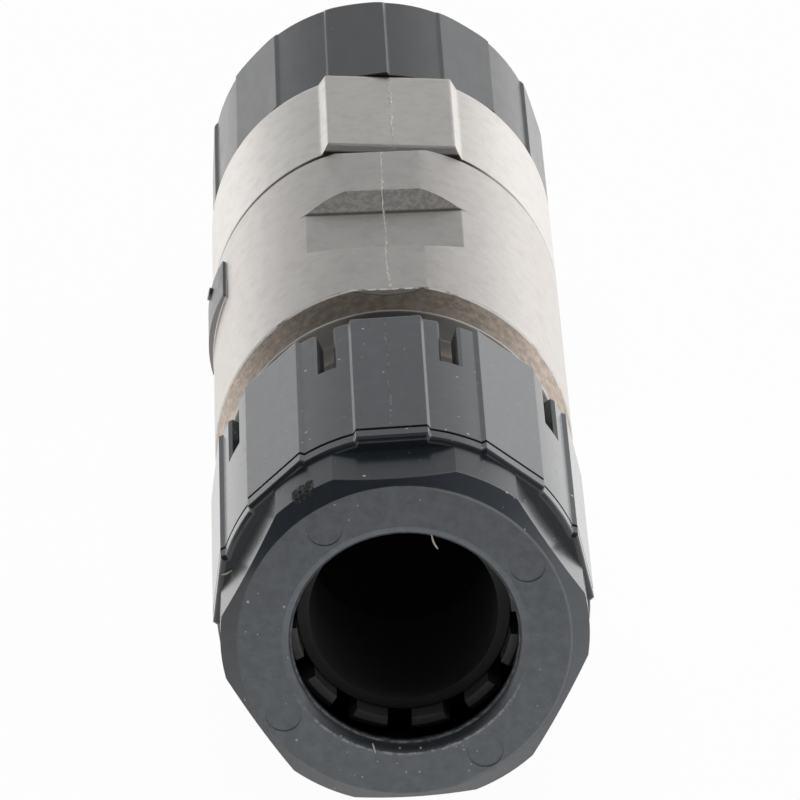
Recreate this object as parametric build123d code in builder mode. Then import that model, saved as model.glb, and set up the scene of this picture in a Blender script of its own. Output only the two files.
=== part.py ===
import os
from math import cos, radians, sin, tan

from build123d import *

# Straight circular cable connector. The axis lies along Y: the mating face is at the origin and the
# cable leaves towards -Y. A station is a distance in mm from the mating face towards the cable end.

# Main size: the housing's outside, which the other radii step in and out from
body_radius = 16.1

# Grip flats on the coupling ring and the nut skirt, with round stretches between them
flat_count = 9
flat_rise = 0.05
flat_depth = 1.0
flat_side_slope = 60

# Coupling ring
ring_length = 20.3
ring_set_back = 0.3
ring_flat_angle = 20
ring_edge_round = 1.5
ring_wall = 2.2
ring_flange_thickness = 3.5
ring_clock = -10.2

# Front shell: collar, nose and spigot
ring_gap = 0.4
collar_length = 18.7
pad_width = 11.8
pad_depth = 4.2
pad_side_slope = 58
pad_chamfer = 1.0
nose_step = 2.0
nose_wall = 1.7
nose_recess = 4.6
spigot_step = 3.2
spigot_length = 11.0
shell_wall = 1.7
joint_chamfer = 0.3

# Rear housing
body_length = 34.4
body_clock = -4.1
crown_cut = 0.38
crown_lead_depth = 0.3
crown_lead_length = 0.75
taper_length = 3.9
taper_depth = 0.95
neck_step = 2.4
neck_length = 23.3
thread_depth = 0.75
chamber_wall = 3.5
neck_wall = 1.35
throat_step = 1.0
spanner_depth = 1.65
spanner_floor_length = 9.3
spanner_start = 12.8
spanner_wall_run = 2.4
plate_height = 0.35
plate_middle_height = 0.55
plate_low_height = 0.15
plate_length = 8.3
plate_start = 4.1
plate_top_angle = 65.6
plate_bottom_angle = 94
nub_radius = 0.6
nub_height = 0.8
nub_start = 5.4
nub_angle = 76

# Gland nut: the hexagon takes a 30 mm spanner
nut_clock = -5.7
nut_standoff = 3.8
skirt_length = 27.4
skirt_rise = 0.1
skirt_flat_angle = 21.6
skirt_edge_round = 0.5
skirt_relief_depth = 0.5
rim_length = 1.7
rim_groove_width = 0.5
rim_groove_depth = 0.3
slot_length = 9.5
slot_width = 1.6
slot_edge_flare = 0.3
hex_sides = 6
hex_length = 6.65
hex_set_back = 1.1
hex_corner_rise = 0.9
hex_face_step = 0.55
hex_chamfer_slope = 35
nut_land = 4.7
nut_mouth_round = 0.9
nut_wall = 1.15
nut_pocket_step = 1.7
nut_pocket_length = 9.5
mark_count = 4
mark_start_angle = 30
mark_radius = 1.55
mark_depth = 0.12

# Cable clamp
cable_clearance = 1.55
seal_wall = 1.05
seal_front_recess = 1.8
finger_count = 12
finger_thickness = 1.35
finger_gap = 2.1
finger_length = 8.9
finger_tip_chamfer = 0.6
cage_flange_set_back = 0.3
cage_flange_thickness = 1.25
cage_sleeve_length = 8.0
cage_sleeve_wall = 1.95
slip_ring_step = 0.6
slip_ring_thickness = 1.1

# Contact insert
insert_recess = 0.5
insert_flange_start = 17.4
insert_flange_thickness = 4.0
contact_count = 6
contact_inset = 4.25
contact_radius = 1.95
contact_entry_radius = 1.5
contact_entry_depth = 2.0
contact_hole_radius = 1.25
contact_hole_depth = 8.0
contact_slit_width = 0.4
contact_slit_length = 6.0
crimp_radius = 1.6
crimp_length = 12.0
crimp_hole_radius = 1.15
crimp_hole_depth = 7.0
lock_thickness = 2.0
retainer_thickness = 3.0
retainer_wall = 2.15
retainer_slot_width = 2.0
retainer_slot_depth = 1.0
key_count = 3
key_width = 2.4
key_depth = 0.9
key_length = 5.0

# Seals and clip
seal_groove_depth = 1.0
seal_groove_width = 1.6
seal_groove_station = 1.6
housing_seal_width = 1.2
clip_thickness = 1.0
clip_rise = 1.3
clip_groove_depth = 0.7
clip_opening = 9.0
face_seal_thickness = 1.6
face_seal_width = 1.45

# Clearances
thread_gap = 0.2
turning_gap = 0.2
slip_gap = 0.1
seat_gap = 0.05

# Radii worked out from the main sizes, outside in
ring_radius = body_radius - ring_set_back
ring_thread_radius = body_radius - ring_wall
crown_flat = body_radius - crown_cut
spanner_flat = body_radius - spanner_depth
taper_end_radius = body_radius - taper_depth
chamber_radius = body_radius - chamber_wall
nose_radius = ring_thread_radius - nose_step
nose_bore_radius = nose_radius - nose_wall
spigot_radius = body_radius - spigot_step
shell_bore_radius = spigot_radius - shell_wall
neck_radius = body_radius - neck_step
neck_core_radius = neck_radius - thread_depth
throat_radius = neck_core_radius - neck_wall
skirt_radius = body_radius + skirt_rise
hex_flat = body_radius - hex_set_back
hex_face_radius = hex_flat - hex_face_step
nut_bore_radius = hex_face_radius - nut_land
cable_radius = nut_bore_radius - cable_clearance
nut_thread_radius = neck_radius + thread_gap
nut_pocket_radius = nut_thread_radius - nut_pocket_step
finger_inner_radius = cable_radius + seal_wall + seat_gap
finger_outer_radius = finger_inner_radius + finger_thickness
cage_flange_radius = neck_radius - cage_flange_set_back
cage_sleeve_inner_radius = throat_radius - seat_gap - cage_sleeve_wall
insert_radius = nose_bore_radius - seat_gap
contact_circle_radius = insert_radius - contact_inset

# Stations worked out from the lengths
collar_front = ring_length + ring_gap
collar_rear = collar_front + collar_length
body_rear = collar_rear + body_length
shoulder_end = body_rear + taper_length
neck_end = shoulder_end + neck_length
nut_rear = shoulder_end + nut_standoff
skirt_front = nut_rear + skirt_length
nut_front = skirt_front + hex_length
nut_shoulder = nut_front - nut_wall
flange_front = ring_length - ring_flange_thickness
clip_rear = flange_front - turning_gap
clip_front = clip_rear - clip_thickness
spigot_end = collar_rear + spigot_length
insert_front = nose_recess + insert_recess
insert_step = nose_recess + insert_flange_start
insert_rear = insert_step + insert_flange_thickness
contact_front = insert_front + contact_entry_depth
lock_front = insert_rear + slip_gap
cage_flange_rear = neck_end + seat_gap
finger_root = cage_flange_rear + cage_flange_thickness
finger_tip = finger_root + finger_length

# Local x is the radius and local y the station, for turned profiles
turning = Plane((0, 0, 0), x_dir=(1, 0, 0), z_dir=(0, 0, -1))


# A cross-section seen from the cable end, turned clockwise by clock degrees
def section(station, clock=0):
    across = (cos(radians(clock)), 0, -sin(radians(clock)))
    return Plane((0, -station, 0), x_dir=across, z_dir=(0, -1, 0))


# The upright plane through the axis: local x is the station and local y points up
def side_plane(clock=0):
    return Plane((0, 0, 0), x_dir=(0, -1, 0), z_dir=(-cos(radians(clock)), 0, sin(radians(clock))))


# Grip outline: a circle with flats across it whose edges stand proud, with sloped sides
def grip_outline(radius, flat_angle):
    flat_width = 2 * (radius + flat_rise) * tan(radians(flat_angle / 2))
    foot_width = flat_width + 2 * flat_depth / tan(radians(flat_side_slope))
    Circle(radius)
    with PolarLocations(radius + flat_rise - flat_depth / 2, flat_count, start_angle=90):
        Trapezoid(foot_width, flat_depth, flat_side_slope, rotation=-90)


# The rectangular section of a plain turned ring
def ring_section(inner, outer, start, end):
    with Locations((inner, start)):
        Rectangle(outer - inner, end - start, align=(Align.MIN, Align.MIN))


os.makedirs("parts", exist_ok=True)

# Coupling ring: faceted grip, rounded front edge, thread room and a rear flange that turns on the nose
ring_vertex = (ring_radius + flat_rise) / cos(radians(ring_flat_angle / 2))
with BuildPart() as coupling_ring:
    with BuildSketch(section(0, ring_clock)):
        grip_outline(ring_radius, ring_flat_angle)
    extrude(amount=ring_length)
    with BuildSketch(turning):
        with Locations((ring_vertex - ring_edge_round, ring_edge_round)):
            Rectangle(2 * ring_edge_round, 2 * ring_edge_round, align=(Align.MIN, Align.MAX))
            Circle(ring_edge_round, mode=Mode.SUBTRACT)
    revolve(axis=Axis.Y, mode=Mode.SUBTRACT)
    with BuildSketch(turning):
        with BuildLine():
            Polyline((0, 0), (ring_thread_radius + joint_chamfer, 0), (ring_thread_radius, joint_chamfer),
                     (ring_thread_radius, flange_front), (nose_radius + turning_gap, flange_front),
                     (nose_radius + turning_gap, ring_length), (0, ring_length), close=True)
        make_face()
    revolve(axis=Axis.Y, mode=Mode.SUBTRACT)
coupling_ring.part.label = "coupling_ring"
export_step(coupling_ring.part, "parts/coupling_ring.step")

# Front shell: nose with a clip groove, collar with two raised spanner pads, spigot with a seal groove
groove_floor = nose_radius - clip_groove_depth
seal_groove_start = collar_rear + seal_groove_station
seal_groove_end = seal_groove_start + seal_groove_width
seal_groove_floor = spigot_radius - seal_groove_depth
pad_foot_width = pad_width + 2 * pad_depth / tan(radians(pad_side_slope))
with BuildPart() as front_shell:
    with BuildSketch(section(collar_front)):
        Circle(body_radius)
        Rectangle(2 * body_radius, 2 * crown_flat, mode=Mode.INTERSECT)
        with Locations((0, crown_flat), (0, pad_depth - crown_flat)):
            Trapezoid(pad_foot_width, pad_depth, pad_side_slope, align=(Align.CENTER, Align.MAX))
    extrude(amount=collar_length)
    with BuildSketch(turning):
        with BuildLine():
            Polyline((0, nose_recess), (nose_radius - joint_chamfer, nose_recess),
                     (nose_radius, nose_recess + joint_chamfer), (nose_radius, clip_front - seat_gap),
                     (groove_floor, clip_front - seat_gap), (groove_floor, clip_rear + seat_gap),
                     (nose_radius, clip_rear + seat_gap), (nose_radius, collar_rear),
                     (spigot_radius, collar_rear),
                     (spigot_radius, seal_groove_start), (seal_groove_floor, seal_groove_start),
                     (seal_groove_floor, seal_groove_end), (spigot_radius, seal_groove_end),
                     (spigot_radius, spigot_end - joint_chamfer),
                     (spigot_radius - joint_chamfer, spigot_end), (0, spigot_end), close=True)
        make_face()
    revolve(axis=Axis.Y)
    with BuildSketch(turning):
        with BuildLine():
            Polyline((0, nose_recess), (nose_bore_radius, nose_recess),
                     (nose_bore_radius, insert_step), (shell_bore_radius, insert_step),
                     (shell_bore_radius, spigot_end), (0, spigot_end), close=True)
        make_face()
    revolve(axis=Axis.Y, mode=Mode.SUBTRACT)
    with BuildSketch(turning):
        with BuildLine():
            Polyline((body_radius - joint_chamfer, collar_rear), (body_radius, collar_rear),
                     (body_radius, collar_rear - joint_chamfer), close=True)
        make_face()
    revolve(axis=Axis.Y, mode=Mode.SUBTRACT)
    with BuildSketch(side_plane()):
        with BuildLine():
            Polyline((collar_rear - pad_chamfer, crown_flat), (collar_rear, crown_flat - pad_chamfer),
                     (collar_rear, crown_flat), close=True)
        make_face()
        mirror(about=Plane.XZ)
    extrude(amount=pad_foot_width / 2, both=True, mode=Mode.SUBTRACT)
front_shell.part.label = "front_shell"
export_step(front_shell.part, "parts/front_shell.step")

# Rear housing: crowned body with spanner flats, a side plate, a tapered shoulder and a hollow neck
housing_bore = spigot_radius + seat_gap
spanner_floor_start = collar_rear + spanner_start
spanner_floor_end = spanner_floor_start + spanner_floor_length
throat_start = body_rear
plate_middle_angle = (plate_top_angle + plate_bottom_angle) / 2


# A point on a cross-section, by radius and angle anticlockwise from the top
def from_top(radius, angle):
    return (-radius * sin(radians(angle)), radius * cos(radians(angle)))


with BuildPart() as rear_housing:
    with BuildSketch(turning):
        with BuildLine():
            Polyline((0, collar_rear), (body_radius - joint_chamfer, collar_rear),
                     (body_radius, collar_rear + joint_chamfer), (body_radius, body_rear),
                     (taper_end_radius, shoulder_end), (neck_core_radius, shoulder_end),
                     (neck_core_radius, neck_end - joint_chamfer),
                     (neck_core_radius - joint_chamfer, neck_end), (0, neck_end), close=True)
        make_face()
    revolve(axis=Axis.Y)
    # Narrow flats along the mould line, top and bottom, chamfered at the joint
    with BuildSketch(side_plane(body_clock)):
        with BuildLine():
            Polyline((collar_rear, crown_flat - crown_lead_depth),
                     (collar_rear + crown_lead_length, crown_flat), (shoulder_end, crown_flat),
                     (shoulder_end, body_radius), (collar_rear, body_radius), close=True)
        make_face()
        mirror(about=Plane.XZ)
    extrude(amount=body_radius / 2, both=True, mode=Mode.SUBTRACT)
    with BuildSketch(side_plane(body_clock)):
        with BuildLine():
            Polyline((spanner_floor_start, spanner_flat), (spanner_floor_end, spanner_flat),
                     (spanner_floor_end + spanner_wall_run, crown_flat),
                     (spanner_floor_end + spanner_wall_run, body_radius + plate_height),
                     (spanner_floor_start - spanner_wall_run, body_radius + plate_height),
                     (spanner_floor_start - spanner_wall_run, crown_flat), close=True)
        make_face()
        mirror(about=Plane.XZ)
    extrude(amount=body_radius, both=True, mode=Mode.SUBTRACT)
    # Blank raised plate on the left side, fading out downwards
    with BuildSketch(section(collar_rear + plate_start, body_clock)):
        with BuildLine():
            ThreePointArc(from_top(body_radius + plate_height, plate_top_angle),
                          from_top(body_radius + plate_middle_height, plate_middle_angle),
                          from_top(body_radius + plate_low_height, plate_bottom_angle))
            Polyline(from_top(body_radius + plate_low_height, plate_bottom_angle),
                     from_top(chamber_radius, plate_bottom_angle),
                     from_top(chamber_radius, plate_top_angle),
                     from_top(body_radius + plate_height, plate_top_angle))
        make_face()
    extrude(amount=plate_length)
    # Small round nub at the plate's far end
    nub_side = nub_angle - body_clock
    nub_base = Plane((0, -collar_rear - nub_start, 0), x_dir=(0, -1, 0),
                     z_dir=(-sin(radians(nub_side)), 0, cos(radians(nub_side))))
    with BuildSketch(nub_base):
        Circle(nub_radius)
    extrude(amount=body_radius + nub_height)
    with BuildSketch(turning):
        with BuildLine():
            Polyline((0, collar_rear), (housing_bore, collar_rear),
                     (housing_bore, spigot_end + seat_gap), (chamber_radius, spigot_end + seat_gap),
                     (chamber_radius, throat_start), (throat_radius, throat_start + throat_step),
                     (throat_radius, neck_end), (0, neck_end), close=True)
        make_face()
    revolve(axis=Axis.Y, mode=Mode.SUBTRACT)
rear_housing.part.label = "rear_housing"
export_step(rear_housing.part, "parts/rear_housing.step")

# Section of one slot through the skirt at the top, with flared outer edges
slot_half = slot_width / 2
slot_top = skirt_radius + flat_depth
with BuildSketch() as skirt_slot:
    with BuildLine():
        Polyline((0, neck_radius), (slot_half, neck_radius), (slot_half, skirt_radius - slot_edge_flare),
                 (slot_half + slot_edge_flare, skirt_radius), (slot_half + slot_edge_flare, slot_top),
                 (0, slot_top), close=True)
    make_face()
    mirror(about=Plane.YZ)

# Gland nut: slotted grip skirt, hexagon with a turned front, cable bore and thread room
hex_vertex = hex_flat / cos(radians(180 / hex_sides))
hex_chamfer_depth = (hex_vertex - hex_face_radius) * tan(radians(hex_chamfer_slope))
skirt_relief_radius = nut_thread_radius + skirt_relief_depth
mark_circle_radius = (nut_bore_radius + nut_mouth_round + hex_face_radius) / 2
slot_end = nut_rear + slot_length
rim_start = skirt_front - rim_length
with BuildPart() as gland_nut:
    with BuildSketch(section(nut_rear, nut_clock)):
        grip_outline(skirt_radius, skirt_flat_angle)
    extrude(amount=rim_start - rim_groove_width - nut_rear)
    with BuildSketch(section(rim_start - rim_groove_width, nut_clock)):
        grip_outline(skirt_radius - rim_groove_depth, skirt_flat_angle)
    extrude(amount=rim_groove_width)
    with BuildSketch(section(rim_start, nut_clock)):
        grip_outline(skirt_radius, skirt_flat_angle)
    extrude(amount=rim_length)
    for end in (gland_nut.faces().sort_by(Axis.Y)[0], gland_nut.faces().sort_by(Axis.Y)[-1]):
        fillet(end.outer_wire().edges(), skirt_edge_round)
    with BuildSketch(section(skirt_front, nut_clock)):
        RegularPolygon(hex_flat, hex_sides, major_radius=False)
        Circle(hex_flat + hex_corner_rise, mode=Mode.INTERSECT)
    extrude(amount=hex_length)
    with BuildSketch(turning):
        with BuildLine():
            Polyline((hex_face_radius, nut_front), (hex_vertex, nut_front - hex_chamfer_depth),
                     (hex_vertex, nut_front), close=True)
        make_face()
    revolve(axis=Axis.Y, mode=Mode.SUBTRACT)
    with BuildSketch(turning):
        with BuildLine():
            Polyline((0, nut_front), (nut_bore_radius, nut_front), (nut_bore_radius, nut_shoulder),
                     (nut_pocket_radius, nut_shoulder), (nut_pocket_radius, nut_shoulder - nut_pocket_length),
                     (nut_thread_radius, nut_shoulder - nut_pocket_length), (nut_thread_radius, slot_end),
                     (skirt_relief_radius, slot_end), (skirt_relief_radius, nut_rear), (0, nut_rear),
                     close=True)
        make_face()
    revolve(axis=Axis.Y, mode=Mode.SUBTRACT)
    fillet(gland_nut.faces().sort_by(Axis.Y)[0].inner_wires()[0].edges(), nut_mouth_round)
    # Slots between the flats
    with BuildSketch(section(nut_rear, nut_clock)):
        for index in range(flat_count):
            add(skirt_slot.sketch, rotation=(index + 0.5) * 360 / flat_count)
    extrude(amount=slot_length, mode=Mode.SUBTRACT)
    # Shallow round moulding marks on the front face
    with BuildSketch(section(nut_front, nut_clock)):
        with PolarLocations(mark_circle_radius, mark_count, start_angle=mark_start_angle):
            Circle(mark_radius)
    extrude(amount=-mark_depth, mode=Mode.SUBTRACT)
gland_nut.part.label = "gland_nut"
export_step(gland_nut.part, "parts/gland_nut.step")

# Slip ring: rides in the nut's pocket, in front of the clamp fingers
slip_ring_front = nut_shoulder - slip_gap
with BuildPart() as slip_ring:
    with BuildSketch(turning):
        ring_section(nut_bore_radius + slip_ring_step, nut_pocket_radius - turning_gap,
                     slip_ring_front - slip_ring_thickness, slip_ring_front)
    revolve(axis=Axis.Y)
slip_ring.part.label = "slip_ring"
export_step(slip_ring.part, "parts/slip_ring.step")

# Clamp cage: sleeve in the neck, flange on its end and a crown of fingers
with BuildPart() as clamp_cage:
    with BuildSketch(turning):
        with BuildLine():
            Polyline((cage_sleeve_inner_radius, neck_end - cage_sleeve_length),
                     (throat_radius - seat_gap, neck_end - cage_sleeve_length),
                     (throat_radius - seat_gap, cage_flange_rear), (cage_flange_radius, cage_flange_rear),
                     (cage_flange_radius, finger_root), (finger_outer_radius, finger_root),
                     (finger_outer_radius, finger_tip - finger_tip_chamfer),
                     (finger_outer_radius - finger_tip_chamfer, finger_tip),
                     (finger_inner_radius, finger_tip), (finger_inner_radius, cage_flange_rear),
                     (cage_sleeve_inner_radius, cage_flange_rear), close=True)
        make_face()
    revolve(axis=Axis.Y)
    with BuildSketch(section(finger_root)):
        with PolarLocations((finger_inner_radius + finger_outer_radius) / 2, finger_count):
            Rectangle(2 * (finger_outer_radius - finger_inner_radius), finger_gap)
    extrude(amount=finger_length, mode=Mode.SUBTRACT)
clamp_cage.part.label = "clamp_cage"
export_step(clamp_cage.part, "parts/clamp_cage.step")

# Gland seal: rubber sleeve inside the fingers, thicker where it sits in the neck
with BuildPart() as gland_seal:
    with BuildSketch(turning):
        with BuildLine():
            Polyline((cable_radius, neck_end - cage_sleeve_length),
                     (cage_sleeve_inner_radius - seat_gap, neck_end - cage_sleeve_length),
                     (cage_sleeve_inner_radius - seat_gap, cage_flange_rear - seat_gap),
                     (finger_inner_radius - seat_gap, cage_flange_rear - seat_gap),
                     (finger_inner_radius - seat_gap, finger_tip - seal_front_recess),
                     (cable_radius, finger_tip - seal_front_recess), close=True)
        make_face()
    revolve(axis=Axis.Y)
gland_seal.part.label = "gland_seal"
export_step(gland_seal.part, "parts/gland_seal.step")

# Square-section seal in the spigot groove
housing_seal_start = (seal_groove_start + seal_groove_end - housing_seal_width) / 2
with BuildPart() as housing_seal:
    with BuildSketch(turning):
        ring_section(seal_groove_floor + seat_gap, spigot_radius, housing_seal_start,
                     housing_seal_start + housing_seal_width)
    revolve(axis=Axis.Y)
housing_seal.part.label = "housing_seal"
export_step(housing_seal.part, "parts/housing_seal.step")

# Spring clip in the nose groove, open at the bottom
clip_radius = nose_radius + clip_rise
with BuildPart() as ring_clip:
    with BuildSketch(turning):
        ring_section(groove_floor + seat_gap, clip_radius, clip_front, clip_rear)
    revolve(axis=Axis.Y)
    with BuildSketch(section(clip_front)):
        Rectangle(clip_opening, clip_radius, align=(Align.CENTER, Align.MAX))
    extrude(amount=clip_thickness, mode=Mode.SUBTRACT)
ring_clip.part.label = "ring_clip"
export_step(ring_clip.part, "parts/ring_clip.step")

# Flat seal around the nose, against the clip
with BuildPart() as face_seal:
    with BuildSketch(turning):
        ring_section(nose_radius + seat_gap, nose_radius + seat_gap + face_seal_width,
                     clip_front - seat_gap - face_seal_thickness, clip_front - seat_gap)
    revolve(axis=Axis.Y)
face_seal.part.label = "face_seal"
export_step(face_seal.part, "parts/face_seal.step")

# Insulator: contact carrier with a flange, stepped contact holes and key notches
with BuildPart() as insulator:
    with BuildSketch(turning):
        with BuildLine():
            Polyline((0, insert_front), (insert_radius, insert_front),
                     (insert_radius, insert_step + seat_gap),
                     (shell_bore_radius - seat_gap, insert_step + seat_gap),
                     (shell_bore_radius - seat_gap, insert_rear), (0, insert_rear), close=True)
        make_face()
    revolve(axis=Axis.Y)
    with BuildSketch(section(insert_front)):
        Circle(contact_entry_radius)
        with PolarLocations(contact_circle_radius, contact_count, start_angle=90):
            Circle(contact_entry_radius)
    extrude(amount=contact_entry_depth, mode=Mode.SUBTRACT)
    with BuildSketch(section(contact_front)):
        Circle(contact_radius + slip_gap)
        with PolarLocations(contact_circle_radius, contact_count, start_angle=90):
            Circle(contact_radius + slip_gap)
    extrude(amount=insert_rear - contact_front, mode=Mode.SUBTRACT)
    with BuildSketch(section(insert_front)):
        with PolarLocations(insert_radius, key_count, start_angle=90):
            Rectangle(2 * key_depth, key_width)
    extrude(amount=key_length, mode=Mode.SUBTRACT)
insulator.part.label = "insulator"
export_step(insulator.part, "parts/insulator.step")

# Lock plate behind the insulator: keeps the contact shoulders in
lock_rear = lock_front + lock_thickness
with BuildPart() as contact_lock:
    with BuildSketch(section(lock_front)):
        Circle(shell_bore_radius - turning_gap)
        Circle(crimp_radius + slip_gap, mode=Mode.SUBTRACT)
        with PolarLocations(contact_circle_radius, contact_count, start_angle=90):
            Circle(crimp_radius + slip_gap, mode=Mode.SUBTRACT)
    extrude(amount=lock_thickness)
contact_lock.part.label = "contact_lock"
export_step(contact_lock.part, "parts/contact_lock.step")

# Threaded ring that holds the insert in the shell, with two key slots
retainer_front = lock_rear + seat_gap
retainer_rear = retainer_front + retainer_thickness
retainer_radius = shell_bore_radius - seat_gap
with BuildPart() as insert_retainer:
    with BuildSketch(turning):
        ring_section(retainer_radius - retainer_wall, retainer_radius, retainer_front, retainer_rear)
    revolve(axis=Axis.Y)
    with BuildSketch(section(retainer_rear - retainer_slot_depth)):
        Rectangle(2 * shell_bore_radius, retainer_slot_width)
    extrude(amount=retainer_slot_depth, mode=Mode.SUBTRACT)
insert_retainer.part.label = "insert_retainer"
export_step(insert_retainer.part, "parts/insert_retainer.step")

# Crimp socket contacts: slit socket in front, shoulder on the lock plate, crimp barrel behind
contact_spots = {"earth_contact": (0, 0)}
for index in range(contact_count):
    clock = -index * 360 / contact_count
    contact_spots[f"contact_{index + 1}"] = from_top(contact_circle_radius, clock)
for name, spot in contact_spots.items():
    with BuildPart() as contact:
        with BuildSketch(section(contact_front)):
            with Locations(spot):
                Circle(contact_radius)
        extrude(amount=insert_rear - contact_front)
        with BuildSketch(section(insert_rear)):
            with Locations(spot):
                Circle(crimp_radius)
        extrude(amount=crimp_length)
        with BuildSketch(section(contact_front)):
            with Locations(spot):
                Circle(contact_hole_radius)
        extrude(amount=contact_hole_depth, mode=Mode.SUBTRACT)
        with BuildSketch(section(contact_front)):
            with Locations(spot):
                Rectangle(2 * contact_radius, contact_slit_width)
        extrude(amount=contact_slit_length, mode=Mode.SUBTRACT)
        with BuildSketch(section(insert_rear + crimp_length - crimp_hole_depth)):
            with Locations(spot):
                Circle(crimp_hole_radius)
        extrude(amount=crimp_hole_depth, mode=Mode.SUBTRACT)
    contact.part.label = name
    export_step(contact.part, f"parts/{name}.step")
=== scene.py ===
from math import cos, pi, radians, sin, tan

import bmesh
import bpy
from mathutils import Matrix, Vector, noise
from mathutils.bvhtree import BVHTree


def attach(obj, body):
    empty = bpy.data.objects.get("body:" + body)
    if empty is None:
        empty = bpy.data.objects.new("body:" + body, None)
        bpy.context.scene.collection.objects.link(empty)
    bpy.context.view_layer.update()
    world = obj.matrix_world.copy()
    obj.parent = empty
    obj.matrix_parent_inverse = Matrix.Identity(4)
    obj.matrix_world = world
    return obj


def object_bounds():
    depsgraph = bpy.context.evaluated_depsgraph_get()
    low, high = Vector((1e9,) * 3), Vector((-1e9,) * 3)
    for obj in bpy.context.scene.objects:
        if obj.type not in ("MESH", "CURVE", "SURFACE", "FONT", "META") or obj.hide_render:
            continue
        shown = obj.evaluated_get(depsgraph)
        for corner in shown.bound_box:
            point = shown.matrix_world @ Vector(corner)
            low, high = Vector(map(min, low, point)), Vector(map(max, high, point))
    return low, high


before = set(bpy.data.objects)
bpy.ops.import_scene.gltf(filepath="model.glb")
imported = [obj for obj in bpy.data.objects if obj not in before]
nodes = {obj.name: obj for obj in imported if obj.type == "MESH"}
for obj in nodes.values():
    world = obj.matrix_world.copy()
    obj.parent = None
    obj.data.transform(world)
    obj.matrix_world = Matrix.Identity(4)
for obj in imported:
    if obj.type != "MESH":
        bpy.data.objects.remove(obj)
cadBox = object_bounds()
mm = 0.001
print("loaded", len(nodes), "solids")


class Wire:  # a shader socket that can stand in a Python sum
    def __init__(self, tree, socket):
        self.tree = tree
        self.socket = socket

    def calc(self, operation, first, second=None):
        node = self.tree.nodes.new("ShaderNodeMath")
        node.operation = operation
        plug(self.tree, node.inputs[0], first)
        if second is not None:
            plug(self.tree, node.inputs[1], second)
        return Wire(self.tree, node.outputs[0])

    def other(self, name):  # another output of the same node
        return Wire(self.tree, self.socket.node.outputs[name])

    def __add__(self, other):
        return self.calc("ADD", self, other)

    def __radd__(self, other):
        return self.calc("ADD", other, self)

    def __sub__(self, other):
        return self.calc("SUBTRACT", self, other)

    def __rsub__(self, other):
        return self.calc("SUBTRACT", other, self)

    def __mul__(self, other):
        return self.calc("MULTIPLY", self, other)

    def __rmul__(self, other):
        return self.calc("MULTIPLY", other, self)

    def __truediv__(self, other):
        return self.calc("DIVIDE", self, other)

    def __rtruediv__(self, other):
        return self.calc("DIVIDE", other, self)

    def __abs__(self):
        return self.calc("ABSOLUTE", self)

    def atLeast(self, other):
        return self.calc("MAXIMUM", self, other)


def plug(tree, socket, value):
    if isinstance(value, Wire):
        tree.links.new(value.socket, socket)
    else:
        socket.default_value = value


class Finish:  # the nodes of one material, or of the world
    def __init__(self, owner, shader="Principled BSDF"):
        owner.use_nodes = True
        self.owner = owner
        self.tree = owner.node_tree
        self.shader = self.tree.nodes[shader]

    def add(self, kind, settings, sockets, out=0):
        node = self.tree.nodes.new("ShaderNode" + kind)
        for name, value in settings.items():
            setattr(node, name, value)
        for name, value in sockets.items():
            plug(self.tree, node.inputs[name], value)
        return Wire(self.tree, node.outputs[out])

    def set(self, **sockets):
        for name, value in sockets.items():
            plug(self.tree, self.shader.inputs[name.replace("_", " ")], value)

    def spot(self, stretch=(1, 1, 1)):  # the piece's own coordinates, in mm
        where = self.add("TexCoord", {}, {}, "Object")
        return self.add("VectorMath", {"operation": "MULTIPLY"}, {0: where, 1: [s / mm for s in stretch]})

    def fromAxis(self):  # distance from the connector's axis, in mm
        return self.add("VectorMath", {"operation": "LENGTH"}, {0: self.spot((1, 0, 1))}, "Value")

    def grain(self, where, scale, detail=3.0, rough=0.55):
        sockets = {"Vector": where, "Scale": scale, "Detail": detail, "Roughness": rough}
        return self.add("TexNoise", {}, sockets, "Fac")

    def blend(self, share, low, high):
        return self.add("Mix", {"data_type": "RGBA"}, {0: share, 6: low, 7: high}, 2)

    def rise(self, value, low, high):  # 0 below low, 1 above high
        return self.add("MapRange", {"interpolation_type": "SMOOTHSTEP"},
                        {"Value": value, "From Min": low, "From Max": high})

    def fall(self, value, low, high):  # 1 below low, 0 above high
        return 1 - self.rise(value, low, high)

    def line(self, offset, core, edge):  # 1 within core of the line, 0 past edge
        return self.fall(abs(offset), core, edge)

    def specks(self, where, gap, size, share):  # scattered round dots, one for every few cells
        cell = self.add("TexVoronoi", {}, {"Vector": where, "Scale": 1 / gap}, "Distance")
        luck = self.add("SeparateColor", {}, {"Color": cell.other("Color")}, "Red")
        reach = size * (0.4 + 0.6 * luck.other("Green"))
        return self.fall(cell * gap, 0.5 * reach, reach) * self.rise(luck, 1 - share, 1 - share + 0.02)

    def soften(self, edge):  # normals rounded over near an edge
        return self.add("Bevel", {"samples": 6}, {"Radius": edge * mm})

    def turnTo(self, share, low, high):  # one normal into another
        return self.add("Mix", {"data_type": "VECTOR"}, {0: share, 4: low, 5: high}, 1)

    def relief(self, height, depth, soft):  # bumps in mm
        return self.add("Bump", {}, {"Strength": 1.0, "Distance": depth * mm, "Height": height, "Normal": soft})


def newMaterial(name):
    return Finish(bpy.data.materials.new(name))


def dress(names, material):
    for name in names:
        slots = nodes[name].data.materials
        slots.clear()
        slots.append(material)


def shade(colour, factor=1.0):
    return (*[c * factor for c in colour], 1)


def turned(finish, where, clock):  # across and up on a section turned clockwise, and the station along
    parts = finish.add("SeparateXYZ", {}, {"Vector": where}, "X")
    x, z = parts, parts.other("Z")
    c, s = cos(radians(clock)), sin(radians(clock))
    return c * x - s * z, s * x + c * z, 0 - parts.other("Y")


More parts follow.
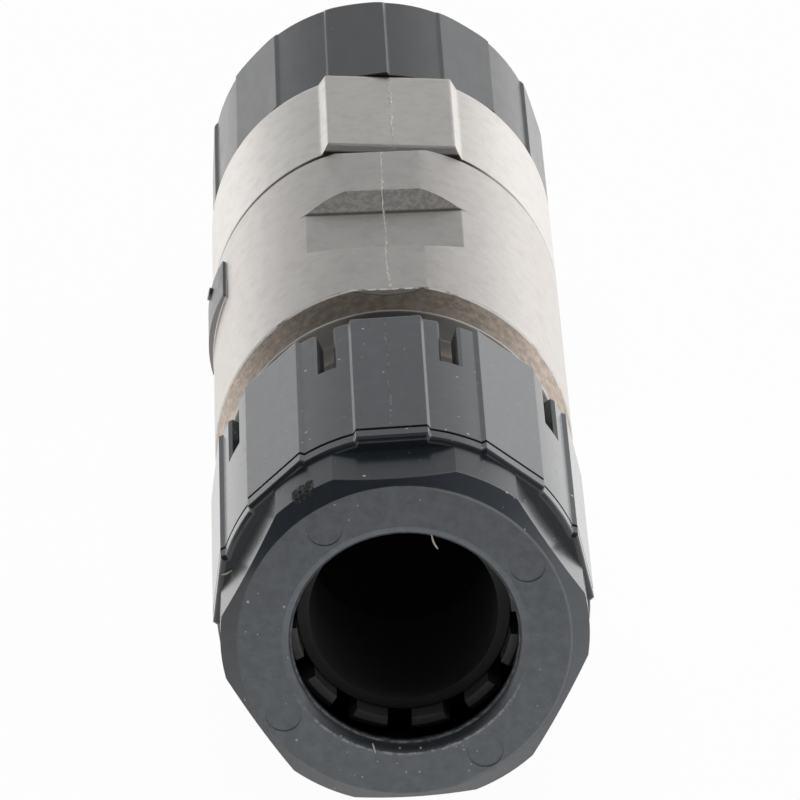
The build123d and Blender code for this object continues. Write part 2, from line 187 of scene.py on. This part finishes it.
# stations, radii and heights are in mm, a station counts from the mating face
nutLook = {"colour": (0.013, 0.0175, 0.023), "hazeTone": 1.3, "roughness": 0.34, "specular": 0.25,
           "gloss": 1.0, "glossRoughness": 0.17, "glossIndex": 1.5, "edge": 0.16, "grainDepth": 0.02,
           "clock": -5.7, "front": 115.55, "faceRadius": 14.45, "faceDepth": 0.16, "chamferSlope": 35,
           "bore": 9.75, "mouth": 10.62, "mouthDepth": 0.9, "mouthLean": 28,
           "skirtFront": 108.9, "rimLength": 1.7, "inside": 15.25, "insideTone": 0.4,
           "dustAndPaintedLight": (0.6, 0.67, 0.76), "smudge": (0.025, 0.045), "faceDustAndLight": (0.1, 0.06, 0.0035),
           "mouthHighlight": (0.01, 0.075), "chamferHighlight": (0.02, 0.006),
           "paintedGlint": (0.6, 0.6, 0.6), "lipShare": 0.45, "stripShare": 0.2,
           "dust": (0.75, 0.72, 0.68), "crumbShare": 0.4, "speckShare": 0.9,
           "specks": ((1.7, 0.22, 0.45), (0.9, 0.12, 0.3)), "faceSpecks": (0.62, 0.15, 0.42)}


def coneNormal(finish, lean):  # the mouth shades as a plain cone, so its light is even
    outward = finish.add("VectorMath", {"operation": "NORMALIZE"}, {0: finish.spot((1, 0, 1))})
    cone = finish.add("VectorMath", {"operation": "MULTIPLY_ADD"},
                      {0: outward, 1: [-sin(lean)] * 3, 2: (0, -cos(lean), 0)})
    return finish.add("VectorTransform", {"vector_type": "NORMAL", "convert_from": "OBJECT", "convert_to": "WORLD"},
                      {"Vector": cone})


def makeNutPlastic(look):
    finish = newMaterial("nutPlastic")
    where = finish.spot()
    across, up, along = turned(finish, where, look["clock"])
    reach = finish.fromAxis()
    front, skirtFront = look["front"], look["skirtFront"]
    haze = finish.grain(finish.spot((1, 0.25, 1)), 0.9, 5.0, 0.65)
    fine = finish.grain(where, 9.0, 2.0)
    base = finish.blend(finish.rise(haze, 0.4, 0.75), shade(look["colour"]), shade(look["colour"], look["hazeTone"]))

    # where the face, the mouth of the bore and the inside of the skirt are
    faceStart = front - look["faceDepth"]
    face = finish.rise(along, faceStart - 0.09, faceStart)
    face = face * finish.fall(reach, look["faceRadius"], look["faceRadius"] + 0.05)
    mouthStart = front - look["mouthDepth"]
    mouth = finish.rise(along, mouthStart - 0.05, mouthStart + 0.05)
    mouth = mouth * finish.fall(reach, look["mouth"], look["mouth"] + 0.05)
    # painted shade: the face film is kept off the lower mouth and its gloss is halved, so it stays dark
    lowerMouthShade = mouth * finish.fall(up, -9.5, -4)  # the lower mouth stays dark
    inner = finish.fall(reach, look["inside"], look["inside"] + 0.2) * finish.fall(along, skirtFront - 1, skirtFront)

    # dust: smudges on the skirt and a film on the face, the face film made paler towards the bottom as painted light
    rimStart = skirtFront - look["rimLength"]
    least, more = look["smudge"]
    smudge = least + more * finish.rise(finish.grain(where, 0.5, 6.0, 0.7), 0.48, 0.78)
    smudge = smudge * finish.fall(along, rimStart - 0.3, rimStart)
    least, more, lightBelow = look["faceDustAndLight"]
    dustAndPaintedLight = face * (least + more * finish.rise(haze, 0.3, 0.7) - lightBelow * up) * (1 - lowerMouthShade)
    base = finish.blend(smudge.atLeast(dustAndPaintedLight), base, shade(look["dustAndPaintedLight"]))
    base = finish.blend(0.8 * inner, base, shade(look["colour"], look["insideTone"]))  # no light gets into the slots
    # painted highlight: the mouth's rounding is made paler towards its top
    least, more = look["mouthHighlight"]
    base = finish.blend((least + more * finish.rise(up, -7, 5)) * mouth, base, shade(look["dustAndPaintedLight"]))

    # painted highlights on edges that catch the light: the bore's lip, the chamfer and the right of the hexagon
    lip = finish.line(reach - look["bore"] - 0.08 + 0.1 * (haze - 0.5), 0.02, 0.09)
    lip = lip * finish.rise(along, front - 1.4, front - 1.2)
    behind = look["faceRadius"] + (front - along) / tan(radians(look["chamferSlope"])) - reach
    strip = finish.rise(behind, 0.02, 0.06) * finish.fall(behind, 0.14, 0.34) * finish.rise(across, 1, 7)
    strip = strip * finish.rise(along, front - 2, front - 1.8)
    chamfer = finish.line(behind, 0.02, 0.08) * finish.rise(along, front - 1.2, front - 1.1) * (1 - face)
    # painted highlight: the chamfer's edge is made paler on the right
    least, more = look["chamferHighlight"]
    base = finish.blend(chamfer * (least + more * across.atLeast(0)), base, shade(look["dustAndPaintedLight"]))
    broken = finish.rise(finish.grain(where, 1.6, 4.0, 0.7), 0.4, 0.62)
    lip = look["lipShare"] * lip * (0.25 + 0.75 * broken)
    base = finish.blend(lip.atLeast(look["stripShare"] * strip), base, shade(look["paintedGlint"]))

    # lint crumbs along the lower rim of the mouth, and specks, more of them on the face below it
    crumbs = finish.line(reach - look["mouth"] - 0.1 + 0.3 * (haze - 0.5), 0.03, 0.22) * broken
    crumbs = look["crumbShare"] * crumbs * finish.fall(up, -8, -3)
    base = finish.blend(crumbs, base, shade(look["dust"]))
    below = face * finish.fall(up, -11, -9.5) * finish.fall(abs(across), 4, 7.5)
    bits = below * finish.specks(where, *look["faceSpecks"])
    for size in look["specks"]:
        bits = bits.atLeast(finish.specks(where, *size))
    base = finish.blend(look["speckShare"] * bits, base, shade(look["dust"]))

    # less gloss on the top of the hexagon, in the slots and under dust
    dull = finish.rise(along, skirtFront + 0.1, skirtFront + 0.4) * (1 - face) * finish.rise(up, 9, 12.5)
    gloss = look["gloss"] * (1 - bits) * (0.8 + 0.4 * haze)
    gloss = gloss * (1 - 0.4 * dull) * (1 - 0.8 * inner) * (1 - 0.5 * lowerMouthShade)
    soft = finish.turnTo(mouth, finish.soften(look["edge"]), coneNormal(finish, radians(look["mouthLean"])))
    finish.set(Base_Color=base, Roughness=look["roughness"] + 0.22 * (haze - 0.5) + 0.2 * bits,
               Specular_IOR_Level=look["specular"], Coat_Weight=gloss,
               Coat_Roughness=look["glossRoughness"], Coat_IOR=look["glossIndex"],
               Normal=finish.relief(fine + 2 * bits, look["grainDepth"], soft))
    return finish.owner


nutPlastic = makeNutPlastic(nutLook)
dress(["gland_nut"], nutPlastic)

ringLook = {"colour": (0.021, 0.022, 0.024), "roughness": 0.38, "specular": 0.2,
            "gloss": 0.72, "glossRoughness": 0.22, "edge": 0.3}
cageLook = {"colour": (0.09, 0.091, 0.094), "roughness": 0.46, "specular": 0.5,
            "gloss": 0.3, "glossRoughness": 0.35, "edge": 0.12}
insertLook = {"colour": (0.05, 0.05, 0.052), "roughness": 0.5, "specular": 0.5,
              "gloss": 0.0, "glossRoughness": 0.3, "edge": 0.15}
plasticLook = {"hazeTone": 1.25, "specks": (1.6, 0.1, 0.15), "speckShare": 0.7, "dust": (0.4, 0.4, 0.38),
               "grainDepth": 0.02}


def makePlastic(name, look, shared):
    finish = newMaterial(name)
    where = finish.spot()
    haze = finish.grain(finish.spot((1, 0.3, 1)), 0.8, 4.0, 0.6)
    fine = finish.grain(where, 7.0, 2.0)
    base = finish.blend(finish.rise(haze, 0.4, 0.75), shade(look["colour"]), shade(look["colour"], shared["hazeTone"]))
    bits = finish.specks(where, *shared["specks"])
    finish.set(Base_Color=finish.blend(shared["speckShare"] * bits, base, shade(shared["dust"])),
               Roughness=look["roughness"] + 0.18 * (haze - 0.5),
               Specular_IOR_Level=look["specular"], Coat_Weight=look["gloss"],
               Coat_Roughness=look["glossRoughness"],
               Normal=finish.relief(fine, shared["grainDepth"], finish.soften(look["edge"])))
    return finish.owner


ringPlastic = makePlastic("ringPlastic", ringLook, plasticLook)
dress(["coupling_ring"], ringPlastic)
dress(["clamp_cage", "slip_ring"], makePlastic("clampPlastic", cageLook, plasticLook))
dress(["insulator", "contact_lock"], makePlastic("insertPlastic", insertLook, plasticLook))

rubberLook = {"colour": (0.07, 0.07, 0.072), "bloom": (0.8, 1.5), "roughness": 0.62, "edge": 0.2, "grainDepth": 0.015,
              "front": 109.3, "frontShade": (0.008, 0.008, 0.009)}


def makeRubber(look):
    finish = newMaterial("rubber")
    where = finish.spot()
    bloom = finish.grain(where, 0.8, 5.0, 0.65)
    fine = finish.grain(where, 12.0, 2.0)
    dark, light = look["bloom"]
    base = finish.blend(bloom, shade(look["colour"], dark), shade(look["colour"], light))
    along = 0 - finish.add("SeparateXYZ", {}, {"Vector": where}, "Y")
    # painted shade: rubber past the front station, deep in the bore, is made near-black
    front = finish.rise(along, look["front"], look["front"] + 0.08)
    finish.set(Base_Color=finish.blend(front, base, shade(look["frontShade"])),
               Roughness=look["roughness"] + 0.2 * (bloom - 0.5),
               Normal=finish.relief(fine, look["grainDepth"], finish.soften(look["edge"])))
    return finish.owner


dress(["gland_seal", "housing_seal", "face_seal"], makeRubber(rubberLook))

nickelLook = {"mottle": 0.93, "bare": (0.17, 0.17, 0.175), "dirtAndShade": (0.11, 0.088, 0.07), "grainDepth": 0.02}
housingLook = {"colour": (0.85, 0.795, 0.75), "roughness": 0.33, "clock": -4.1, "inside": 12.7,
               "edge": 0.22, "crownEdge": 2.3, "crowns": ((41.0, 48.6), (65.2, 72.0)),
               "taper": (73.8, 77.7), "brown": (0.49, 0.385, 0.3), "stain": (0.68, 1.3), "paintedGlint": (0.95, 0.92, 0.88),
               "runOut": (15.69, 15.75), "runOutColour": (0.05, 0.04, 0.033), "neck": 81.2,
               "outside": 16.1, "plate": (0.19, 0.185, 0.195),
               "pocketWall": (49.8, 52.2), "pocketFloor": 14.45, "wallSlope": 0.529, "sand": (0.78, 1.05)}
shellLook = {"colour": (0.98, 0.925, 0.87), "roughness": 0.32, "clock": 0.5, "inside": 11.3, "edge": 0.45,
             "rear": 38.85}


def plating(finish, look, shared):  # what both metal halves share
    where = finish.spot()
    patch = finish.grain(where, 0.8, 5.0, 0.65)
    fine = finish.grain(where, 6.0, 3.0)
    base = finish.blend(finish.rise(patch, 0.42, 0.72), shade(look["colour"]), shade(look["colour"], shared["mottle"]))
    reach = finish.fromAxis()
    plated = finish.rise(reach, look["inside"] - 0.05, look["inside"])
    roughness = look["roughness"] + 0.25 * (1 - plated) + 0.16 * (patch - 0.5)
    return where, patch, fine + 0.3 * patch, base, reach, plated, roughness


def makeHousingNickel(look, shared):
    finish = newMaterial("housingNickel")
    where, patch, bumps, base, reach, plated, roughness = plating(finish, look, shared)
    across, up, along = turned(finish, where, look["clock"])
    cloud = finish.grain(where, 0.22, 4.0, 0.6)

    # browner plating where the shoulder tapers, painted highlights on its edges, dark where the crown runs out into it
    start, end = look["taper"]
    shoulder = finish.rise(along, start - 0.2, start + 0.1) * finish.fall(along, end - 0.1, end + 0.05)
    dark, light = look["stain"]
    stain = finish.blend(finish.rise(finish.grain(where, 1.4, 5.0, 0.7), 0.35, 0.7),
                         shade(look["brown"], dark), shade(look["brown"], light))
    base = finish.blend(shoulder * (0.7 + 0.3 * cloud), base, stain)
    low, high = look["runOut"]
    runOut = finish.rise(along, start, start + 0.1)
    runOut = runOut * finish.rise(up, low, low + 0.02) * finish.fall(up, high - 0.02, high)
    base = finish.blend(0.7 * runOut, base, shade(look["runOutColour"]))
    edgeGlint = finish.line(along - start - 0.16 + 0.2 * (cloud - 0.5), 0.08, 0.28) * finish.rise(patch, 0.32, 0.52)
    rim = finish.line(along - end + 0.06, 0.04, 0.16)
    edgeGlint = edgeGlint.atLeast(rim * (0.3 + 0.7 * finish.rise(abs(across), 2, 7)))
    base = finish.blend(edgeGlint, base, shade(look["paintedGlint"]))

    # dull side plate and its nub, painted shade on the neck under the nut, bare metal inside
    plate = finish.rise(reach, look["outside"] + 0.03, look["outside"] + 0.1)
    base = finish.blend(plate * (0.85 + 0.15 * cloud), base, shade(look["plate"]))
    neckShade = finish.rise(along, look["neck"], look["neck"] + 0.4)
    base = finish.blend(0.7 * neckShade, base, shade(shared["dirtAndShade"]))
    base = finish.blend(plated, shade(shared["bare"]), base)

    # as-cast end wall of the spanner pocket, and painted shade in its corner
    wallTop, wallFoot = look["pocketWall"]
    height = abs(up) - look["pocketFloor"]
    ahead = wallFoot - along
    pocket = finish.rise(along, wallTop - 0.05, wallTop + 0.05) * finish.fall(along, wallFoot + 0.6, wallFoot + 0.7)
    wall = finish.line(height - ahead * look["wallSlope"], 0.04, 0.1) * pocket * finish.rise(ahead, -0.1, 0.1)
    sand = finish.grain(where, 2.0, 3.0, 0.65)
    dark, light = look["sand"]
    sandy = finish.blend(finish.rise(sand, 0.34, 0.66), shade(look["colour"], dark), shade(look["colour"], light))
    base = finish.blend(wall, base, sandy)
    corner = finish.fall(abs(ahead) + abs(height), 0.05, 0.5) * pocket
    base = finish.blend(0.75 * corner, base, shade(shared["dirtAndShade"]))

    # the flat crown runs out softly into the round body
    crown = 0
    for first, last in look["crowns"]:
        crown = finish.rise(along, first, first + 0.6) * finish.fall(along, last - 0.6, last) + crown
    soft = finish.turnTo(crown, finish.soften(look["edge"]), finish.soften(look["crownEdge"]))
    finish.set(Metallic=plated * (1 - 0.6 * edgeGlint), Base_Color=base, Roughness=roughness + 0.2 * wall,
               Normal=finish.relief(bumps + 2 * wall * sand, shared["grainDepth"], soft))
    return finish.owner


def makeShellNickel(look, shared):
    finish = newMaterial("shellNickel")
    where, _, bumps, base, _, plated, roughness = plating(finish, look, shared)
    across, _, along = turned(finish, where, look["clock"])
    base = finish.blend(plated, shade(shared["bare"]), base)
    # dirt and painted shade on the collar's rear edge, most of it under the spanner pad
    dirtAndShade = finish.rise(along, look["rear"], look["rear"] + 0.2) * (1 - 0.8 * finish.rise(abs(across), 6, 9.5))
    finish.set(Metallic=plated, Base_Color=finish.blend(dirtAndShade, base, shade(shared["dirtAndShade"])), Roughness=roughness,
               Normal=finish.relief(bumps, shared["grainDepth"], finish.soften(look["edge"])))
    return finish.owner


housingNickel = makeHousingNickel(housingLook, nickelLook)
dress(["rear_housing"], housingNickel)
dress(["front_shell", "insert_retainer"], makeShellNickel(shellLook, nickelLook))

contactLook = {"colour": (0.86, 0.8, 0.66), "dull": (0.7, 0.62, 0.48), "roughness": 0.26, "edge": 0.08,
               "lineDepth": 0.01}
clipLook = {"colour": (0.42, 0.43, 0.45), "dull": (0.3, 0.3, 0.31), "roughness": 0.3, "edge": 0.08,
            "lineDepth": 0.01}


def makeMetal(name, look):
    finish = newMaterial(name)
    where = finish.spot()
    patch = finish.grain(where, 0.9, 4.0, 0.6)
    lines = finish.grain(finish.spot((1, 12, 1)), 0.8, 2.0)
    base = finish.blend(finish.rise(patch, 0.4, 0.7), shade(look["colour"]), shade(look["dull"]))
    finish.set(Metallic=1.0, Base_Color=base, Roughness=look["roughness"] + 0.15 * (patch - 0.5),
               Normal=finish.relief(lines, look["lineDepth"], finish.soften(look["edge"])))
    return finish.owner


dress(["earth_contact"] + [f"contact_{i}" for i in range(1, 7)], makeMetal("contactMetal", contactLook))
dress(["ring_clip"], makeMetal("springSteel", clipLook))
print("finishes done")


def newPiece(name, mesh, material, body):
    piece = bpy.data.objects.new(name, mesh)
    bpy.context.collection.objects.link(piece)
    mesh.materials.append(material)
    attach(piece, body)


def toMesh(name, form):
    bmesh.ops.recalc_face_normals(form, faces=form.faces)
    mesh = bpy.data.meshes.new(name)
    form.to_mesh(mesh)
    form.free()
    return mesh


def skin(name, rows):  # closed tube over rings of points
    form = bmesh.new()
    rings = [[form.verts.new(point) for point in row] for row in rows]
    count = len(rings[0])
    for one, two in zip(rings, rings[1:]):
        for k in range(count):
            form.faces.new((one[k], one[(k + 1) % count], two[(k + 1) % count], two[k]))
    form.faces.new(rings[0])
    form.faces.new(list(reversed(rings[-1])))
    return toMesh(name, form)


neckThread = {"start": 92.2, "end": 100.6, "foot": 12.93, "crest": 13.68, "shift": 0.0}
nutThread = {"start": 91.4, "end": 104.6, "foot": 13.93, "crest": 13.12, "shift": 0.5}
ringThread = {"start": 0.8, "end": 13.0, "foot": 13.92, "crest": 13.25, "shift": 0.0}
threadLook = {"pitch": 1.5, "footWidth": 1.2, "crestWidth": 0.36, "steps": 72, "runOutTurns": 0.5, "leastRise": 0.02}


def makeThread(name, size, look, material, body):
    pitch, steps = look["pitch"], look["steps"]
    first = round((size["start"] / pitch - size["shift"]) * steps)
    last = round((size["end"] / pitch - size["shift"]) * steps)
    fade = look["runOutTurns"] * steps
    halfFoot, halfCrest = look["footWidth"] / 2, look["crestWidth"] / 2
    foot = size["foot"]
    rows = []
    for step in range(first, last + 1):
        turn = 2 * pi * step / steps
        middle = (step / steps + size["shift"]) * pitch
        runOut = min(1, (step - first) / fade, (last - step) / fade)
        crest = foot + (size["crest"] - foot) * max(runOut, look["leastRise"])
        profile = ((foot, -halfFoot), (crest, -halfCrest), (crest, halfCrest), (foot, halfFoot))
        rows.append([(-radius * sin(turn) * mm, -(middle + offset) * mm, radius * cos(turn) * mm)
                     for radius, offset in profile])
    newPiece(name, skin(name, rows), material, body)


makeThread("neckThread", neckThread, threadLook, housingNickel, "housing")
makeThread("nutThread", nutThread, threadLook, nutPlastic, "nut")
makeThread("ringThread", ringThread, threadLook, ringPlastic, "ring")
print("threads done")

seamLook = {"step": 0.12, "sides": 6, "sunk": 0.02, "flat": 0.7, "thin": 0.3, "swell": 1.2,
            "wander": 0.24, "wanderPace": 0.13, "jitterPace": 1.6, "beadPace": 1.1, "beadBias": 0.2, "rayHeight": 30}
castSeam = {"light": (0.97, 0.93, 0.89), "dark": (0.78, 0.74, 0.7), "metallic": 0.6, "width": 0.165, "jitter": 0.1}
# the nut's mould line: its light tone is painted glint on the black plastic
mouldSeam = {"light": (0.4, 0.4, 0.4), "dark": (0.03, 0.03, 0.032), "metallic": 0.0, "width": 0.065, "jitter": 0.07}
seamRuns = {"shellSeam": ("front_shell", "housing", "plated_metal", 0.5, 21.0, 38.7),
            "bodySeam": ("rear_housing", "housing", "plated_metal", -4.1, 40.2, 73.6),
            "nutSeam": ("gland_nut", "nut", "black_plastic", -5.7, 82.3, 106.5)}


def makeSeamFinish(name, look):
    finish = newMaterial(name)
    tone = finish.rise(finish.grain(finish.spot(), 1.3, 3.0), 0.4, 0.62)
    finish.set(Base_Color=finish.blend(tone, shade(look["dark"]), shade(look["light"])),
               Metallic=look["metallic"], Roughness=0.35 + 0.15 * tone)
    return finish.owner


def makeSeam(name, look, size, material):  # mould line laid on its node's surface, thick and thin
    node, body, slot, clock, first, last = seamRuns[name]
    data = nodes[node].data
    surface = BVHTree.FromPolygons([v.co for v in data.vertices], [p.vertices for p in data.polygons])
    turn = radians(clock)
    side, up = Vector((cos(turn), 0, -sin(turn))), Vector((sin(turn), 0, cos(turn)))
    steps = round((last - first) / look["step"])
    rows = []
    for step in range(steps + 1):
        station = first + (last - first) * step / steps
        wander = look["wander"] * noise.noise(Vector((station * look["wanderPace"], clock, 0)))
        wander += size["jitter"] * noise.noise(Vector((station * look["jitterPace"], clock, 5)))
        bead = max(noise.noise(Vector((station * look["beadPace"], clock, 9))) + look["beadBias"], 0)
        above = side * wander - Vector((0, station, 0)) + up * look["rayHeight"]
        foot = surface.ray_cast(above * mm, -up)[0]
        half = size["width"] * (look["thin"] + look["swell"] * bead)
        row = []
        for k in range(look["sides"]):
            angle = 2 * pi * k / look["sides"]
            rise = look["flat"] * half * sin(angle) - look["sunk"]
            row.append(foot + (side * half * cos(angle) + up * rise) * mm)
        rows.append(row)
    newPiece(name, skin(name, rows), material, body)


castFinish = makeSeamFinish("castSeam", castSeam)
makeSeam("shellSeam", seamLook, castSeam, castFinish)
makeSeam("bodySeam", seamLook, castSeam, castFinish)
makeSeam("nutSeam", seamLook, mouldSeam, makeSeamFinish("mouldSeam", mouldSeam))
print("mould lines done")

tornLook = {"clocks": (-40.0, -31.5), "radius": 15.9, "edge": 114.53, "back": 2.3, "front": 0.6,
            "slope": 35, "bend": 0.4, "columns": 40, "lines": 22,
            "height": 0.3, "swell": 0.62, "rough": 0.8, "buried": 0.05, "sunk": 0.4,
            "coarsePace": (0.19, 0.24), "finePace": 0.6, "fineShare": 0.4,
            "colour": (0.012, 0.013, 0.014), "pale": (0.13, 0.13, 0.127), "crumbDepth": 0.05, "soften": 0.03}


def makeTornFinish(look):
    finish = newMaterial("tornPlastic")
    crumbs = finish.grain(finish.spot(), 2.2, 4.0, 0.7)
    base = finish.blend(finish.rise(crumbs, 0.46, 0.68), shade(look["colour"]), shade(look["pale"]))
    finish.set(Base_Color=base, Roughness=0.6 + 0.3 * (crumbs - 0.5),
               Normal=finish.relief(crumbs, look["crumbDepth"], finish.soften(look["soften"])))
    return finish.owner


def tornPoint(look, i, j, outer):  # a point of the lump, over the hexagon's edge and onto its chamfer
    first, last = look["clocks"]
    slope, bend = look["slope"], look["bend"]
    share, depth = i / look["columns"], j / look["lines"]
    clock = radians(first + (last - first) * share)
    run = look["front"] - (look["front"] + look["back"]) * depth  # mm past the edge
    lean = radians(min(max(90 - (90 - slope) * (run + bend / 2) / bend, slope), 90))
    radius = look["radius"] - max(run, 0) * cos(radians(slope))
    station = look["edge"] + min(run, 0) + max(run, 0) * sin(radians(slope))
    lift = -look["sunk"]
    if outer:
        fade = max(sin(pi * share) * sin(pi * depth), 0) ** 0.5
        wide, long = look["coarsePace"]
        rough = noise.noise(Vector((i * wide, j * long, 7)))
        rough += look["fineShare"] * noise.noise(Vector((i * look["finePace"], j * look["finePace"], 2)))
        lift = look["height"] * fade * (look["rough"] * rough + look["swell"]) - look["buried"]
    radius, station = radius + lift * sin(lean), station + lift * cos(lean)
    return radius * sin(clock) * mm, -station * mm, radius * cos(clock) * mm


def makeTornEdge(look):  # the hexagon's chewed corner, one ragged lump
    form = bmesh.new()
    columns, lines = look["columns"], look["lines"]
    sheets = []
    for outer in (True, False):
        rows = [[form.verts.new(tornPoint(look, i, j, outer)) for j in range(lines + 1)] for i in range(columns + 1)]
        for one, two in zip(rows, rows[1:]):
            for j in range(lines):
                form.faces.new((one[j], one[j + 1], two[j + 1], two[j]))
        sheets.append(rows)
    border = [(0, j) for j in range(lines)] + [(i, lines) for i in range(columns)]
    border += [(columns, j) for j in range(lines, 0, -1)] + [(i, 0) for i in range(columns, 0, -1)]
    top, bottom = sheets
    for (i, j), (m, n) in zip(border, border[1:] + border[:1]):
        form.faces.new((top[i][j], top[m][n], bottom[m][n], bottom[i][j]))
    newPiece("tornEdge", toMesh("tornEdge", form), makeTornFinish(look), "nut")


fibreLook = {"thickness": 0.085, "tip": 0.45, "colour": (0.85, 0.8, 0.62), "dark": 0.7, "sides": 6, "steps": 14}
fibrePaths = {"boreFibre": ((1.85, 115.3, 9.95), (1.95, 115.5, 9.2), (2.45, 115.4, 8.6)),
              "lipFibre": ((-2.45, 115.5, -9.8), (-2.3, 115.62, -10.3), (-2.15, 115.6, -10.7)),
              "skirtFibre": ((-15.85, 108.95, 2.8), (-15.4, 109.1, 2.9), (-14.98, 109.05, 3.3))}


def makeFibres(look, paths):  # lint caught on the nut, each path is x, station and z
    finish = newMaterial("lint")
    tone = finish.grain(finish.spot(), 3.0)
    finish.set(Base_Color=finish.blend(tone, shade(look["colour"], look["dark"]), shade(look["colour"])),
               Roughness=0.6 + 0.3 * tone)
    anySide = Vector((0.3, 0.5, 0.8))
    for name, path in paths.items():
        start, middle, end = [Vector((x, -station, z)) for x, station, z in path]
        rows = []
        for step in range(look["steps"] + 1):
            t = step / look["steps"]
            centre = (1 - t) ** 2 * start + 2 * t * (1 - t) * middle + t * t * end
            ahead = (1 - t) * (middle - start) + t * (end - middle)
            across = ahead.cross(anySide).normalized()
            upward = ahead.cross(across).normalized()
            width = look["thickness"] * (look["tip"] + (1 - look["tip"]) * sin(pi * t))
            turns = [2 * pi * k / look["sides"] for k in range(look["sides"])]
            rows.append([(centre + (across * cos(turn) + upward * sin(turn)) * width) * mm for turn in turns])
        newPiece(name, skin(name, rows), finish.owner, "nut")


makeTornEdge(tornLook)
makeFibres(fibreLook, fibrePaths)
print("torn corner and lint done")

floorLook = {"size": 6.0, "dark": (0.93, 0.93, 0.93), "light": (0.96, 0.96, 0.96), "roughness": 0.9, "whiteShare": 0.97}
skyLook = {"horizon": 1.25, "middle": 0.378, "dip": 0.1, "zenith": 0.4, "behind": 0.6, "tilt": 0.28,
           "ridge": 0.5, "ridgeWidth": (0.05, 0.4), "lowBand": (-0.35, 0.45), "highBand": (0.42, 0.72),
           "crownBand": (0.82, 0.98), "backBand": (0.0, 0.5), "cool": (0.97, 1.0, 1.02)}
lampLook = {"size": 1.2, "power": 7.0, "place": (0, -0.06, 1.2)}


def makeFloor(look):
    bpy.ops.mesh.primitive_plane_add(size=look["size"], location=(0, 0, cadBox[0].z))
    floor = bpy.context.object
    floor.name = "floor"
    finish = newMaterial("paleFloor")
    mottle = finish.grain(finish.spot(), 0.01)
    finish.set(Base_Color=finish.blend(mottle, shade(look["dark"]), shade(look["light"])), Roughness=look["roughness"])
    ray = finish.add("LightPath", {}, {}, "Is Camera Ray")
    seen = ray.atLeast(ray.other("Is Glossy Ray")).atLeast(ray.other("Is Transmission Ray"))
    white = finish.add("Emission", {}, {"Color": (1, 1, 1, 1), "Strength": 1.0})
    paper = Wire(finish.tree, finish.shader.outputs[0])
    both = finish.add("MixShader", {}, {0: look["whiteShare"] * seen, 1: paper, 2: white})
    plug(finish.tree, finish.tree.nodes["Material Output"].inputs["Surface"], both)
    floor.data.materials.append(finish.owner)


def makeSky(look):
    world = bpy.data.worlds.new("studio")
    bpy.context.scene.world = world
    finish = Finish(world, "Background")
    toward = finish.add("TexCoord", {}, {}, "Generated")
    parts = finish.add("SeparateXYZ", {}, {"Vector": toward}, "Z")
    x, y, z = parts.other("X"), parts.other("Y"), parts
    height = z - look["tilt"] * x  # brighter on the right
    low = finish.rise(height, *look["lowBand"])
    high = finish.rise(height, *look["highBand"])
    crown = finish.rise(z, *look["crownBand"])
    ridge = high * finish.fall(abs(x), *look["ridgeWidth"]) * (1 - crown)  # darkest straight ahead
    back = finish.rise(0 - y, *look["backBand"])
    level = look["horizon"] - (look["horizon"] - look["middle"]) * low - (look["middle"] - look["dip"]) * high
    level = level + (look["zenith"] - look["dip"]) * crown * (1 - back)
    finish.set(Color=finish.blend(low, (1, 1, 1, 1), shade(look["cool"])),
               Strength=level * (1 - look["behind"] * back * low) * (1 - look["ridge"] * ridge))


def makeLamp(look):
    lamp = bpy.data.lights.new("softLamp", "AREA")
    lamp.size = look["size"]
    lamp.energy = look["power"]
    holder = bpy.data.objects.new("softLamp", lamp)
    holder.location = look["place"]
    holder.visible_camera = False
    holder.visible_glossy = False
    bpy.context.collection.objects.link(holder)


makeFloor(floorLook)
makeSky(skyLook)
makeLamp(lampLook)

cameraLook = {"place": (-30.79, -846.57, 328.17), "aim": (0.776, -62.96, 0.366), "roll": 2.44,
              "lens": 420.16, "sensor": 36, "clipEnd": 20}


def makeCamera(look):
    data = bpy.data.cameras.new("camera")
    camera = bpy.data.objects.new("camera", data)
    bpy.context.collection.objects.link(camera)
    place = Vector(look["place"]) * mm
    aim = (Vector(look["aim"]) * mm - place).to_track_quat("-Z", "Y").to_matrix()
    roll = Matrix.Rotation(radians(look["roll"]), 3, "Z")
    camera.matrix_world = Matrix.Translation(place) @ (aim @ roll).to_4x4()
    data.sensor_width = look["sensor"]
    data.lens = look["lens"]
    data.clip_end = look["clipEnd"]
    bpy.context.scene.camera = camera


makeCamera(cameraLook)
bpy.context.scene.view_settings.view_transform = "Standard"
print("stage and camera done")
